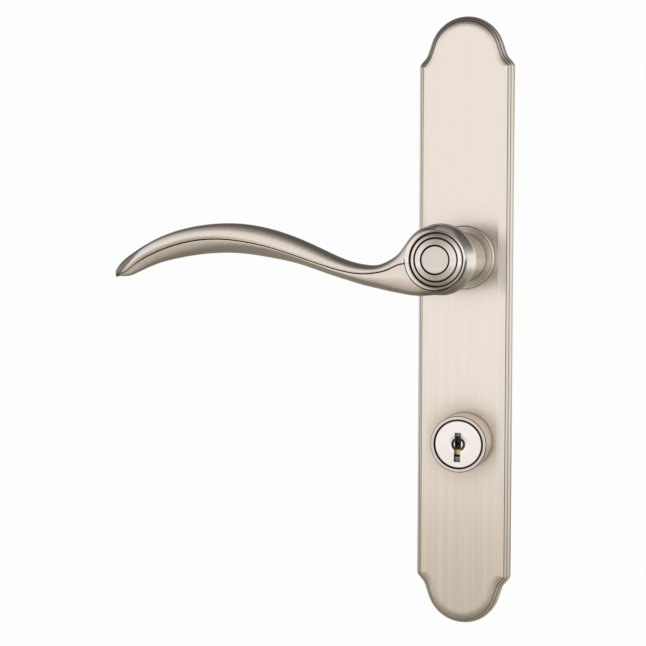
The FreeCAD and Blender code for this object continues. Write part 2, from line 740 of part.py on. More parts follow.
def rim_flare():
    """Oval land that widens the rim towards the arm."""
    half = RIM_FLARE / 2
    oval = Part.Ellipse(FreeCAD.Vector(-half, 0, 0), RIM_OUTER_RADIUS + half, RIM_OUTER_RADIUS)
    land = Part.Face(Part.Wire(oval.toShape())).extrude(FreeCAD.Vector(0, 0, RIM_FLARE_THICKNESS))
    land.rotate(FreeCAD.Vector(0, 0, 0), FreeCAD.Vector(1, 0, 0), RIGHT_ANGLE)
    land.translate(at(0, RIM_HEIGHT - ARM_FLUSH - RIM_FLARE_THICKNESS, LEVER_AXIS_Z))
    return land


def arm_section(row):
    """Section wire across the arm: convex ribbon, grooved crease and round belly."""
    share, top, ribbon, belly, setback, thickness = row
    x = -(ARM_ROOT + share * (LEVER_REACH - ARM_ROOT))
    front = RIM_HEIGHT - ARM_FLUSH - setback
    crease, bottom = top - ribbon, top - ribbon - belly
    tall = top - bottom
    fine = min(1.0, thickness / CREASE_FULL_THICKNESS, belly / CREASE_FULL_BELLY)
    roll = RIBBON_ROLL * max(share, 0.0) ** 2 * thickness
    step = roll + CREASE_STEP * fine
    turn = BELLY_TURN - BELLY_TURN_LOSS * min(1.0, max(share, 0.0) / BELLY_TURN_SHARE)

    def spot(depth, height):
        return at(x, front - depth, LEVER_AXIS_Z + height)

    points = [
        spot(roll, crease),
        spot(RIBBON_SWELL * thickness, crease + RIBBON_SWELL_PLACE * ribbon),
        spot(TOP_DEPTH * thickness, top),
        spot(BACK_UPPER[0] * thickness, top - BACK_UPPER[1] * tall),
        spot(thickness, (top + bottom) / 2),
        spot(BACK_LOWER[0] * thickness, bottom + BACK_LOWER[1] * tall),
        spot(BOTTOM_DEPTH * thickness, bottom),
        spot(step + BELLY_DEPTH * thickness, crease - turn * belly),
        spot(step, crease - CREASE_WIDTH * fine),
    ]
    curve = Part.BSplineCurve()
    curve.interpolate(Points=points, Parameters=list(ARM_PARAMETERS))
    groove = spot(step + CREASE_DEPTH * fine, crease - CREASE_WIDTH * fine / 2)
    lines = [Part.LineSegment(points[-1], groove), Part.LineSegment(groove, points[0])]
    return Part.Wire([curve.toShape()] + [line.toShape() for line in lines])


def lever_arm():
    """Wave-shaped arm lofted from the hub to the tip, with the land round the rim."""
    arm = Part.makeLoft([arm_section(row) for row in ARM_SECTIONS], True, False)
    inside = post(0, LEVER_AXIS_Z, RIM_OUTER_RADIUS - ARM_OVERLAP, NECK_FOOT, HUB_HEIGHT)
    return [arm.cut(inside), rim_flare().cut(inside)]


def spindle_socket():
    half = SPINDLE_SIDE / 2 + SPINDLE_SLACK
    span = (LEVER_AXIS_Z - half, LEVER_AXIS_Z + half)
    return block((-half, half), (JOURNAL_END - CUT_MARGIN, SPINDLE_SOCKET), span)


def journal_cuts():
    """Flats for the cam, groove for the ring and the hole of the cross pin."""
    length = CAM_TOP - JOURNAL_END + CUT_MARGIN
    low = CAM_TOP - length
    blank = post(0, LEVER_AXIS_Z, JOURNAL_RADIUS + CUT_MARGIN, low, CAM_TOP)
    flats = blank.cut(double_flat(JOURNAL_RADIUS + CUT_MARGIN, JOURNAL_FLAT, low, CAM_TOP))
    ring_low = RING_TOP - RING_THICKNESS - FIXED_FIT
    groove = post(0, LEVER_AXIS_Z, JOURNAL_RADIUS + CUT_MARGIN, ring_low, RING_TOP)
    groove = groove.cut(post(0, LEVER_AXIS_Z, RING_GROOVE_RADIUS, 0.0, CAM_TOP))
    return [flats, groove, cross_pin(PIN_RADIUS + FIXED_FIT, JOURNAL_RADIUS + CUT_MARGIN)]


def cross_pin(radius, half_length):
    """Bar across the lever axis, along X."""
    start = at(-half_length, PIN_HEIGHT, LEVER_AXIS_Z)
    return Part.makeCylinder(radius, 2 * half_length, start, FreeCAD.Vector(1, 0, 0))


def lever():
    """Cast lever: hub, neck and arm in one piece."""
    body = fused([hub()] + lever_arm())
    return body.cut([spindle_socket()] + journal_cuts())


def spindle():
    """Square bar through the door."""
    half = SPINDLE_SIDE / 2
    span = (LEVER_AXIS_Z - half, LEVER_AXIS_Z + half)
    bar = block((-half, half), (-SPINDLE_REACH, SPINDLE_SOCKET - SPINDLE_TIP_GAP), span)
    bar = bar.makeChamfer(SPINDLE_CHAMFER, edges_along_y(bar))
    return bar.cut(cross_pin(PIN_RADIUS + FIXED_FIT, JOURNAL_RADIUS))


def cylinder_housing():
    """Turned barrel with the collar that stands out of the plate."""
    pocket = FACE_RADIUS + FACE_GAP
    seat = COLLAR_HEIGHT - FACE_THICKNESS - FACE_GAP / 2
    bore = PLUG_RADIUS + RUNNING_FIT
    clip_low = CLIP_SEAT - CLIP_THICKNESS - FIXED_FIT
    body = turned(
        [
            (bore, BARREL_END),
            (bore, seat),
            (pocket, seat),
            (pocket, COLLAR_HEIGHT),
            (COLLAR_RADIUS - COLLAR_EDGE, COLLAR_HEIGHT),
            (COLLAR_RADIUS, COLLAR_HEIGHT - COLLAR_EDGE, -COLLAR_EDGE_BULGE),
            (COLLAR_RADIUS, FIELD_HEIGHT),
            (BARREL_RADIUS, FIELD_HEIGHT),
            (BARREL_RADIUS, CLIP_SEAT),
            (CLIP_GROOVE_RADIUS, CLIP_SEAT),
            (CLIP_GROOVE_RADIUS, clip_low),
            (BARREL_RADIUS, clip_low),
            (BARREL_RADIUS, BARREL_END),
        ],
        KEY_AXIS_X,
        KEY_AXIS_Z,
    )
    half = WAFER_WIDTH / 2 + WAFER_SLACK * 2
    last = wafer_height(WAFER_COUNT - 1) - WAFER_THICKNESS
    groove = block(
        (KEY_AXIS_X - half, KEY_AXIS_X + half),
        (last, WAFER_FIRST + WAFER_THICKNESS),
        (KEY_AXIS_Z - LOCK_GROOVE_REACH, KEY_AXIS_Z + LOCK_GROOVE_REACH),
    )
    return body.cut(groove)


def cylinder_clip():
    """Horseshoe clip that holds the cylinder in the plate."""
    inner = CLIP_GROOVE_RADIUS + FIXED_FIT
    low = CLIP_SEAT - CLIP_THICKNESS
    mouth = 2 * inner * CLIP_MOUTH_SHARE
    return open_ring(KEY_AXIS_X, KEY_AXIS_Z, inner, CLIP_RADIUS, mouth, low, CLIP_SEAT, -RIGHT_ANGLE)


def wafer_height(index):
    """Height of the middle of one wafer."""
    return WAFER_FIRST - index * WAFER_PITCH


def wafer_blank(index, slack, z_range, ear_range):
    """Plate at the place of one wafer, with the ear that its spring pushes on."""
    middle = wafer_height(index)
    half_thick = WAFER_THICKNESS / 2 + slack
    depth = (middle - half_thick, middle + half_thick)
    half = WAFER_WIDTH / 2 + slack
    spans = [(KEY_AXIS_Z + low, KEY_AXIS_Z + high) for low, high in (z_range, ear_range)]
    body = block((KEY_AXIS_X - half, KEY_AXIS_X + half), depth, spans[0])
    return fused([body, block((KEY_AXIS_X, KEY_AXIS_X + half + WAFER_EAR), depth, spans[1])])


def wafer_chamber(index):
    """Room in the plug for one wafer, open at the top."""
    low = -WAFER_FOOT - WAFER_TRAVEL
    return wafer_blank(index, WAFER_SLACK, (low, PLUG_RADIUS + CUT_MARGIN), (POCKET_FLOOR, PLUG_RADIUS))


def wafer(index):
    """One brass wafer at the height its key cut gives it."""
    middle = wafer_height(index)
    window = block(
        (KEY_AXIS_X - WINDOW_HALF_WIDTH, KEY_AXIS_X + WINDOW_HALF_WIDTH),
        (middle - WAFER_THICKNESS, middle + WAFER_THICKNESS),
        (KEY_AXIS_Z + WINDOW_BOTTOMS[index % len(WINDOW_BOTTOMS)], KEY_AXIS_Z + WINDOW_TOP),
    )
    return wafer_blank(index, 0.0, (-WAFER_FOOT, WAFER_HEAD), (WAFER_EAR_BASE, WAFER_EAR_TOP)).cut(window)


def spring_pocket(index):
    """Drilled pocket beside a wafer."""
    start = at(KEY_AXIS_X + POCKET_X, wafer_height(index), KEY_AXIS_Z + POCKET_FLOOR)
    return Part.makeCylinder(POCKET_RADIUS, PLUG_RADIUS - POCKET_FLOOR, start, FreeCAD.Vector(0, 0, 1))


def wafer_springs():
    """Close-wound springs under the ears, each as a ridged column."""
    length = WAFER_EAR_BASE - POCKET_FLOOR - FIXED_FIT
    pitch = length / WAFER_SPRING_COILS
    rows = [FreeCAD.Vector(0, 0, 0)]
    for coil in range(WAFER_SPRING_COILS):
        rows.append(FreeCAD.Vector(WAFER_SPRING_RADIUS * WAFER_SPRING_WAIST, 0, coil * pitch))
        rows.append(FreeCAD.Vector(WAFER_SPRING_RADIUS, 0, (coil + 0.5) * pitch))
    rows.append(FreeCAD.Vector(WAFER_SPRING_RADIUS * WAFER_SPRING_WAIST, 0, length))
    rows.append(FreeCAD.Vector(0, 0, length))
    face = Part.Face(Part.makePolygon(rows + rows[:1]))
    column = face.revolve(FreeCAD.Vector(0, 0, 0), FreeCAD.Vector(0, 0, 1), FULL_TURN)
    springs = []
    for index in range(WAFER_COUNT):
        spring = column.copy()
        spring.translate(at(KEY_AXIS_X + POCKET_X, wafer_height(index), KEY_AXIS_Z + POCKET_FLOOR))
        springs.append(spring)
    return Part.makeCompound(springs)


def keyway():
    """Slot for the key: two halves set off sideways, deep for the blade, shallow at both ends."""
    face = COLLAR_HEIGHT + CUT_MARGIN
    blade, pocket = (KEYWAY_END, face), (COLLAR_HEIGHT - KEY_POCKET_DEPTH, face)
    half = KEYWAY_WIDTH / 2
    upper, lower = [(middle - half, middle + half) for middle in (KEYWAY_UPPER_X, KEYWAY_LOWER_X)]
    slots = [
        block(upper, blade, (KEYWAY_JOG_Z, BLADE_TOP)),
        block(lower, blade, (-BLADE_BOTTOM, KEYWAY_JOG_Z)),
        block(upper, pocket, (KEYWAY_JOG_Z, KEYWAY_TOP)),
        block(lower, pocket, (-KEYWAY_BOTTOM, KEYWAY_JOG_Z)),
    ]
    slot = fused(slots)
    slot.translate(FreeCAD.Vector(KEY_AXIS_X, 0, KEY_AXIS_Z))
    return slot


def key_plug():
    """Turning plug: face, keyway, wafer chambers, clip groove and tail slot."""
    face = COLLAR_HEIGHT - FACE_DROP
    back = face - FACE_THICKNESS
    core, ring_floor = face - KEY_CORE_DROP, face - KEY_RING_DEPTH
    groove_top = BARREL_END - STACK_GAP
    groove_low = groove_top - PLUG_CLIP_THICKNESS - FIXED_FIT
    body = turned(
        [
            (0.0, PLUG_END),
            (0.0, core),
            (KEY_RING_INNER, core),
            (KEY_RING_INNER, ring_floor),
            (KEY_RING_OUTER, ring_floor),
            (KEY_RING_OUTER, face - DISH_DEPTH),
            (DISH_RADIUS, face),
            (FACE_RADIUS - FACE_CHAMFER, face),
            (FACE_RADIUS, face - FACE_CHAMFER),
            (FACE_RADIUS, back),
            (PLUG_RADIUS, back),
            (PLUG_RADIUS, groove_top),
            (PLUG_CLIP_GROOVE, groove_top),
            (PLUG_CLIP_GROOVE, groove_low),
            (PLUG_RADIUS, groove_low),
            (PLUG_RADIUS, PLUG_END),
        ],
        KEY_AXIS_X,
        KEY_AXIS_Z,
    )
    cuts = [keyway(), tail_blank(FIXED_FIT), tail_pin_bar(TAIL_PIN_RADIUS + FIXED_FIT)]
    for index in range(WAFER_COUNT):
        cuts.append(wafer_chamber(index))
        cuts.append(spring_pocket(index))
    for cutter in cuts:
        body = body.cut(cutter)
    return body


def plug_clip():
    inner = PLUG_CLIP_GROOVE + FIXED_FIT
    top = BARREL_END - STACK_GAP
    low = top - PLUG_CLIP_THICKNESS
    return open_ring(KEY_AXIS_X, KEY_AXIS_Z, inner, PLUG_CLIP_RADIUS, PLUG_CLIP_MOUTH, low, top, 0.0)


def tail_blank(slack):
    """Flat bar behind the plug, or its slot when slack is given."""
    half, thick = TAIL_WIDTH / 2 + slack, TAIL_THICKNESS / 2 + slack
    top = PLUG_END + TAIL_SEAT + slack
    x_range = (KEY_AXIS_X - thick, KEY_AXIS_X + thick)
    return block(x_range, (-TAIL_REACH, top), (KEY_AXIS_Z - half, KEY_AXIS_Z + half))


def tail_pin_bar(radius):
    start = at(KEY_AXIS_X - PLUG_RADIUS, PLUG_END + TAIL_SEAT / 2, KEY_AXIS_Z)
    return Part.makeCylinder(radius, 2 * PLUG_RADIUS, start, FreeCAD.Vector(1, 0, 0))


def tailpiece():
    return tail_blank(0.0).cut(tail_pin_bar(TAIL_PIN_RADIUS + FIXED_FIT))


def save(name, shape):
    """One STEP file, named after its piece."""
    shape.exportStep("parts/" + name + ".step")
    print(name, len(shape.Solids), "solid", "valid" if shape.isValid() else "not valid")


def build():
    os.makedirs("parts", exist_ok=True)
    save("escutcheon", escutcheon())
    save("gasket", gasket())
    save("mounting_post_upper", mounting_post(1))
    save("mounting_post_lower", mounting_post(-1))
    save("lever_bushing", lever_bushing())
    save("return_spring", return_spring())
    save("thrust_washer", thrust_washer())
    save("spring_cam", spring_cam())
    save("retaining_ring", retaining_ring())
    save("cage_cover", cage_cover())
    save("cage_screws", cage_screws())
    save("lever", lever())
    save("spindle", spindle())
    save("spindle_pin", cross_pin(PIN_RADIUS, JOURNAL_RADIUS - PIN_INSET))
    save("cylinder_housing", cylinder_housing())
    save("cylinder_clip", cylinder_clip())
    save("key_plug", key_plug())
    save("wafer_springs", wafer_springs())
    save("plug_clip", plug_clip())
    save("tailpiece", tailpiece())
    save("tailpiece_pin", tail_pin_bar(TAIL_PIN_RADIUS))
    for index in range(WAFER_COUNT):
        save("wafer_" + str(index + 1), wafer(index))


build()
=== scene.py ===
"""Satin nickel outside trim of a screen door latch, dressed for the photograph's view.

Metres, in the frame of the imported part: X to the right seen from outside, Y into the
door, Z up. The lever points to the left and the camera stands a little to the right.
"""
import math

import bmesh
import bpy
from mathutils import Matrix, Vector


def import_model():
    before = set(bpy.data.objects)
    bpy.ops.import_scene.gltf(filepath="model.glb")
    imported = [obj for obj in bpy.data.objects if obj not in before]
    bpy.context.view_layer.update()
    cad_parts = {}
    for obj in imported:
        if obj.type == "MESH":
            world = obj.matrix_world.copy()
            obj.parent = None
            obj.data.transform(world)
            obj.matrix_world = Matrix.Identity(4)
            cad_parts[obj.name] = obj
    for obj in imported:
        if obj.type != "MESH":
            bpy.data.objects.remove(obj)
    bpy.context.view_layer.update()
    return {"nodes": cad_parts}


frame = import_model()

PHOTO_SIDE = 646
SENSOR = 36.0

# Camera fitted to the outline of the plate
CAMERA_PLACE = (0.120069, -0.633357, 0.035621)
CAMERA_YAW = 15.563
CAMERA_PITCH = 3.217
CAMERA_ROLL = 0.149
FOCAL_PIXELS = 1694.335

# Studio: a floor, a backdrop and a tent that only reflections see
FLOOR_Z = -0.42
STAGE_REACH = 3.0
BACKDROP_Y = 1.0
BACKDROP_HALF = 1.2
BACKDROP_TOP = 1.2
TENT_SIZE = (0.9, 0.9, 0.4)
WHITE = (0.985, 0.985, 0.985, 1.0)
PLAIN = (1.0, 1.0, 1.0, 1.0)
AMBIENT = (0.55, 0.55, 0.55, 1.0)
MATT_WHITE = (0.9, 0.9, 0.9, 1.0)
FLOOR_GLOW = 0.8
BACKDROP_GLOW = 1.0
TENT_TURN = 0.15

# Brightness of the tent from straight down (0) over the horizon (0.5) to straight up (1)
FRONT_LEVELS = (
    (0.0, (0.27, 0.25, 0.21)),
    (0.10, (0.34, 0.315, 0.27)),
    (0.20, (0.48, 0.445, 0.395)),
    (0.28, (0.62, 0.585, 0.53)),
    (0.355, (0.66, 0.62, 0.545)),
    (0.38, (0.82, 0.79, 0.735)),
    (0.40, (0.94, 0.925, 0.90)),
    (0.43, (1.0, 0.985, 0.97)),
    (0.68, (1.0, 0.985, 0.97)),
    (0.76, (0.93, 0.915, 0.90)),
    (0.83, (0.72, 0.69, 0.665)),
    (0.90, (0.47, 0.44, 0.415)),
    (0.95, (0.28, 0.255, 0.235)),
    (1.0, (0.16, 0.145, 0.135)),
)
REAR_LEVELS = (
    (0.0, (0.36, 0.345, 0.28)),
    (0.12, (0.46, 0.44, 0.36)),
    (0.30, (0.52, 0.50, 0.43)),
    (0.45, (0.92, 0.90, 0.87)),
    (0.57, (1.0, 0.985, 0.96)),
    (0.66, (0.58, 0.555, 0.53)),
    (0.74, (0.29, 0.265, 0.245)),
    (0.88, (0.19, 0.175, 0.16)),
    (1.0, (0.16, 0.145, 0.135)),
)
# Share of the rear levels near the horizon, from the far left (0) to the far right (1)
REAR_SIDES = ((0.0, 0.98), (0.30, 0.54), (0.50, 0.24), (0.62, 0.34), (0.80, 0.9), (1.0, 1.0))
# How far from the horizon that share holds in full, and where it has ended
HORIZON_BAND = (0.14, 0.24)
# Small window straight behind the door, by the cosine of the angle off the Y axis
WINDOW_EDGE = 0.970
WINDOW_CORE = 0.988

# Places on the part that the finishes and the painted light and shade follow
LEVER_AXIS = Vector((0.0, 0.0, 0.0246))
HUB_EDGE = 0.0118
HUB_BLEND = 0.006
HUB_FRONT = 0.050
HUB_GROOVES = (0.0050, 0.0076, 0.00942)
GROOVE_LAND = 0.0006
RIM_RADIUS = 0.0103
RIM_FLARE = 0.001
RIM_STEP = 0.0002
RIM_FADE = 0.001
NECK_RADIUS = 0.0098
NECK_FRONT = 0.047
TIP_X = -0.1244
TIP_Z = 0.0164
TIP_SLOPE = 0.95
KEY_AXIS = Vector((0.00107, 0.0, -0.0443))
KEY_FACE_Y = -0.0192
KEY_GAP_RADIUS = 0.00893
KEY_RING_RADIUS = 0.00215
COLLAR_RADIUS = 0.0105
MOULDING_LINES = (0.00205, 0.0031, 0.00415)

# Painted shade and highlight lines: half width of the core, half width where the line ends, and share of
# light in the core
GROOVE_SHADE_LINE = (0.00018, 0.0004, 0.04)
HIGHLIGHT_LINE = (0.00008, 0.00024, 1.3)
RIM_SHADE_LINE = (0.0001, 0.0003, 0.08)
MOULDING_LINE = (0.00006, 0.00026, 0.68)
KEY_RING_LINE = (0.00042, 0.00056, 0.02)
KEY_GAP_LINE = (0.00034, 0.00044, 0.03)
COLLAR_LINE = (0.00012, 0.00036, 0.14)

# Soft steps: where they start and end, and the level before and after
HUB_FACE = (-HUB_FRONT - 0.001, -HUB_FRONT, 1.0, 0.0)
GROOVES_LIT = (-0.2, 0.9, 0.0, 0.4)
RING_LIGHT = (0.0050, 0.0078, 0.93, 1.2)
NECK_START = (-NECK_FRONT, -NECK_FRONT + 0.002, 0.0, 1.0)
NECK_SIDE = (NECK_RADIUS, NECK_RADIUS + 0.0006, 1.0, 0.0)
NECK_LIGHT = (0.15, 1.0, 1.0, 0.3)
COVE_START = (-0.008, -0.003, 0.0, 1.0)
COVE_LIGHT = (0.08, 0.45, 1.2, 0.7)
TIP_BORDER = (-0.0002, 0.0005, 0.0, 1.0)
TIP_FRONT = (-0.3, 0.0, 1.0, 0.0)
TIP_LIGHT = (0.006, 0.018, 0.28, 1.0)
BRUSH_STRENGTH = (-0.10, 0.06, 1.0, 0.2)
FIELD_FACING = (0.97, 0.999, 0.0, 1.0)
KEY_FRONT = (0.0004, 0.0008, 1.0, 0.0)
SLOT_START = (0.0003, 0.0009, 0.0, 1.0)
SLOT_END = (0.004, 0.006, 1.0, 0.0)

# Shade of the hub on the plate: by the height off its middle, then at the rose's edge,
# at the edge of the flat field and at the first line of the moulded edge
HUB_SHADE_DROP = 0.002
HUB_SHADE_LEVEL = (0.005, 0.015, 1.0, 0.0)
HUB_SHADE_STEPS = (
    (0.0120, 0.0130, 1.0, 0.84),
    (0.0136, 0.0139, 1.0, 0.8),
    (0.0158, 0.0166, 1.0, 1.45),
)

# Share of light by how open a place is, and how far the test for it reaches
CREVICE_REACH = 0.0014
CREVICE_SHADE = ((0.22, 0.03), (0.45, 0.4), (0.72, 1.0))
CONTACT_REACH = 0.014
CONTACT_SHADE = ((0.45, (0.55, 0.52, 0.47)), (0.9, 1.0))
SLOT_LIGHT = 0.22

# Painted light and shade on the lever by slope: share of light from slopes that face down (0) over
# upright (0.5) to up (1)
SLOPE_LIGHT = (
    (0.0, 0.55),
    (0.10, 0.62),
    (0.19, 0.8),
    (0.29, 1.32),
    (0.42, 1.3),
    (0.49, 1.05),
    (0.80, 0.96),
    (0.90, 0.8),
    (1.0, 0.8),
)

# Course of the arm from the axis (0) to the tip (1), which its buffing lines follow
ARM_LENGTH = 0.125
ARM_WAVE_HEIGHT = 0.022
ARM_WAVE = (
    (0.0, 0.5),
    (0.09, 0.42),
    (0.2, 0.30),
    (0.37, 0.36),
    (0.55, 0.72),
    (0.7, 0.86),
    (0.86, 0.62),
    (1.0, 0.12),
)

# Coarse and fine noise of each grain: scale and detail
LEVER_NOISES = ((1100.0, 2.0), (5200.0, 3.0))
BRUSH_NOISES = ((300.0, 2.0), (1500.0, 3.0))
# How much the lines are drawn out: along the arm, into its depth, and down the plate
ALONG_ARM = 0.03
INTO_ARM = 0.8
DOWN_PLATE = 0.0035
CLOUD_SCALE = 90.0
MOULDING_ROUGHNESS = 0.24
FIELD_ANISOTROPY = 0.6


def node(tree, kind, inputs=None, **settings):
    """Adds a shader node. Inputs are values or the outputs of other nodes."""
    made = tree.nodes.new("ShaderNode" + kind)
    for name, value in settings.items():
        setattr(made, name, value)
    for socket, value in (inputs or {}).items():
        if isinstance(value, bpy.types.NodeSocket):
            tree.links.new(value, made.inputs[socket])
        else:
            made.inputs[socket].default_value = value
    return made


def calc(tree, operation, *values, clamp=False):
    """Output of a math node."""
    inputs = dict(enumerate(values))
    return node(tree, "Math", inputs, operation=operation, use_clamp=clamp).outputs[0]


def product(tree, first, *others):
    """All the values multiplied."""
    result = first
    for value in others:
        result = calc(tree, "MULTIPLY", result, value)
    return result


def less(tree, value, amount):
    return calc(tree, "SUBTRACT", value, amount)


def as_share(tree, value):
    """Value from -1 to 1 moved to 0 to 1."""
    return calc(tree, "ADD", calc(tree, "MULTIPLY", value, 0.5), 0.5)


def blend(tree, share, low, high):
    """Number that goes from one to the other with the share."""
    return node(tree, "Mix", {0: share, 2: low, 3: high}).outputs[0]


def blend_colour(tree, share, low, high):
    """Colour that goes from one to the other with the share."""
    return node(tree, "Mix", {0: share, 6: low, 7: high}, data_type="RGBA").outputs[2]


def shaded(tree, colour, share):
    """Colour multiplied by a share or by another colour."""
    inputs = {0: 1.0, 6: colour, 7: share}
    return node(tree, "Mix", inputs, data_type="RGBA", blend_type="MULTIPLY").outputs[2]


def ramp(tree, value, stops, interpolation="LINEAR"):
    """Output of a colour ramp. Stops are (position, colour or grey level)."""
    made = node(tree, "ValToRGB", {0: value})
    made.color_ramp.interpolation = interpolation
    elements = made.color_ramp.elements
    while len(elements) < len(stops):
        elements.new(1.0)
    for element, (place, colour) in zip(elements, stops):
        element.position = place
        if not isinstance(colour, tuple):
            colour = (colour, colour, colour)
        element.color = (*colour, 1.0)
    return made.outputs[0]


def spread(tree, value, low, high, to_low, to_high):
    """Value moved smoothly from one range to another."""
    inputs = {0: value, 1: low, 2: high, 3: to_low, 4: to_high}
    return node(tree, "MapRange", inputs, interpolation_type="SMOOTHSTEP").outputs[0]


def near(tree, value, place, inner, outer, inside, outside=1.0):
    """One level on both sides of a place, and another away from it."""
    away = calc(tree, "ABSOLUTE", less(tree, value, place))
    return spread(tree, away, inner, outer, inside, outside)


def joined(tree, x, y, z):
    return node(tree, "CombineXYZ", {0: x, 1: y, 2: z}).outputs[0]


def noise(tree, vector, scale, detail=2.0, roughness=0.5):
    inputs = {"Vector": vector, "Scale": scale, "Detail": detail, "Roughness": roughness}
    return node(tree, "TexNoise", inputs).outputs[0]


def place_parts(tree):
    """Object place in metres, as x, y and z outputs."""
    parts = node(tree, "SeparateXYZ", {0: node(tree, "TexCoord").outputs["Object"]})
    return parts.outputs[0], parts.outputs[1], parts.outputs[2]


def radius_from(tree, axis):
    """Distance from an axis along Y."""
    x, _, z = place_parts(tree)
    across = calc(tree, "POWER", less(tree, x, axis.x), 2.0)
    up = calc(tree, "POWER", less(tree, z, axis.z), 2.0)
    return calc(tree, "SQRT", calc(tree, "ADD", across, up))


def new_material(name):
    """Material with its Principled shader."""
    material = bpy.data.materials.new(name)
    material.use_nodes = True
    return material, material.node_tree, material.node_tree.nodes["Principled BSDF"]


def tinted(tree, colour, amount, value):
    """Colour that varies in lightness by an amount either side of the middle of a noise."""
    dark = tuple(part * (1.0 - amount) for part in colour)
    light = tuple(part * (1.0 + amount) for part in colour)
    return ramp(tree, value, ((0.25, dark), (0.75, light)))


def open_share(tree, reach):
    """How open a place is to all sides within a reach."""
    return node(tree, "AmbientOcclusion", {"Distance": reach}, samples=8).outputs["AO"]


def crevices(tree, colour):
    """Colour that goes dark in grooves and narrow gaps, where no light gets out again."""
    return shaded(tree, colour, ramp(tree, open_share(tree, CREVICE_REACH), CREVICE_SHADE))


def shade_colour(material, share):
    """Multiplies the base colour of a finished metal by a share."""
    tree = material.node_tree
    socket = tree.nodes["Principled BSDF"].inputs["Base Color"]
    tree.links.new(shaded(tree, socket.links[0].from_socket, share), socket)


def metal(name, colour, roughness, grain, depth=0.000004, tint=0.03, scatter=0.05):
    """Metal whose tint, gloss and relief all follow one grain.

    The grain function takes the node tree and returns a coarse and a fine noise.
    """
    material, tree, shader = new_material(name)
    coarse, fine = grain(tree)
    lines = calc(tree, "ADD", calc(tree, "MULTIPLY", coarse, 0.5), calc(tree, "MULTIPLY", fine, 0.5))
    cloud = noise(tree, node(tree, "TexCoord").outputs["Object"], CLOUD_SCALE, 3.0)
    tree.links.new(crevices(tree, tinted(tree, colour, tint, lines)), shader.inputs["Base Color"])
    gloss = calc(tree, "ADD", calc(tree, "MULTIPLY", less(tree, fine, 0.5), scatter * 2), roughness)
    gloss = calc(tree, "ADD", gloss, calc(tree, "MULTIPLY", less(tree, cloud, 0.5), scatter))
    tree.links.new(gloss, shader.inputs["Roughness"])
    bump = node(tree, "Bump", {"Strength": 1.0, "Distance": depth, "Height": lines})
    tree.links.new(bump.outputs[0], shader.inputs["Normal"])
    shader.inputs["Metallic"].default_value = 1.0
    return material


def turned_grain(axis, scale):
    """Fine rings round an axis, as a lathe leaves them."""

    def grain(tree):
        vector = joined(tree, radius_from(tree, axis), place_parts(tree)[1], 0.0)
        return noise(tree, vector, scale, 2.0), noise(tree, vector, scale * 4.0, 3.0, 0.6)

    return grain


def arm_wave(tree, x):
    """Height of the arm's middle line over a place along it."""
    share = calc(tree, "MULTIPLY", x, -1.0 / ARM_LENGTH, clamp=True)
    curve = node(tree, "FloatCurve", {1: share})
    line = curve.mapping.curves[0]
    line.points[0].location = ARM_WAVE[0]
    line.points[1].location = ARM_WAVE[-1]
    for spot in ARM_WAVE[1:-1]:
        line.points.new(*spot)
    curve.mapping.update()
    return calc(tree, "MULTIPLY", less(tree, curve.outputs[0], 0.5), ARM_WAVE_HEIGHT)


def lever_grain(tree):
    """Buffing lines that run along the wave of the arm and round the hub."""
    x, y, z = place_parts(tree)
    above = less(tree, z, arm_wave(tree, x))
    along = joined(tree, calc(tree, "MULTIPLY", x, ALONG_ARM), calc(tree, "MULTIPLY", y, INTO_ARM), above)
    radius = radius_from(tree, LEVER_AXIS)
    around = joined(tree, radius, y, 0.0)
    mask = spread(tree, radius, HUB_EDGE, HUB_EDGE + HUB_BLEND, 0.0, 1.0)
    outputs = []
    for scale, detail in LEVER_NOISES:
        ring = noise(tree, around, scale, detail)
        run = noise(tree, along, scale, detail)
        outputs.append(blend(tree, mask, ring, run))
    return outputs


def groove_lines(tree, radius, x):
    """Painted shade lines in the hub's grooves, weaker on the lit right, with a painted highlight line
    outside each.
    """
    dark = product(tree, *(near(tree, radius, place, *GROOVE_SHADE_LINE) for place in HUB_GROOVES))
    lit = spread(tree, calc(tree, "DIVIDE", x, radius), *GROOVES_LIT)
    pale = [near(tree, radius, place + GROOVE_LAND, *HIGHLIGHT_LINE) for place in HUB_GROOVES]
    return product(tree, blend(tree, lit, dark, 1.0), *pale)


def rim_shades(tree, radius, x, z):
    """Painted shade line round the lower half of the rim, at its step to the arm, and painted light on
    rings that get paler towards it.
    """
    widened = spread(tree, x, -RIM_RADIUS, RIM_RADIUS, RIM_FLARE, 0.0)
    outside = less(tree, less(tree, radius, RIM_RADIUS), widened)
    below = spread(tree, z, LEVER_AXIS.z - RIM_FADE, LEVER_AXIS.z + RIM_FADE, 1.0, 0.0)
    edge = blend(tree, below, 1.0, near(tree, outside, 0.0, *RIM_SHADE_LINE))
    past_rim = spread(tree, outside, -RIM_STEP, 0.0, 0.0, 1.0)
    return product(tree, edge, blend(tree, past_rim, spread(tree, radius, *RING_LIGHT), 1.0))


def neck_shade(tree, radius, y, rise):
    """Shade on the neck behind the hub, above and below its lit side."""
    behind = product(tree, spread(tree, y, *NECK_START), spread(tree, radius, *NECK_SIDE))
    return blend(tree, behind, 1.0, spread(tree, rise, *NECK_LIGHT))


def cove_shade(tree, radius, x, rise):
    """Light on the right end of the cove round the hub, and shade above and below it."""
    past_rim = spread(tree, less(tree, radius, RIM_RADIUS), 0.0, RIM_STEP, 0.0, 1.0)
    flank = product(tree, past_rim, spread(tree, x, *COVE_START))
    return blend(tree, flank, 1.0, spread(tree, rise, *COVE_LIGHT))


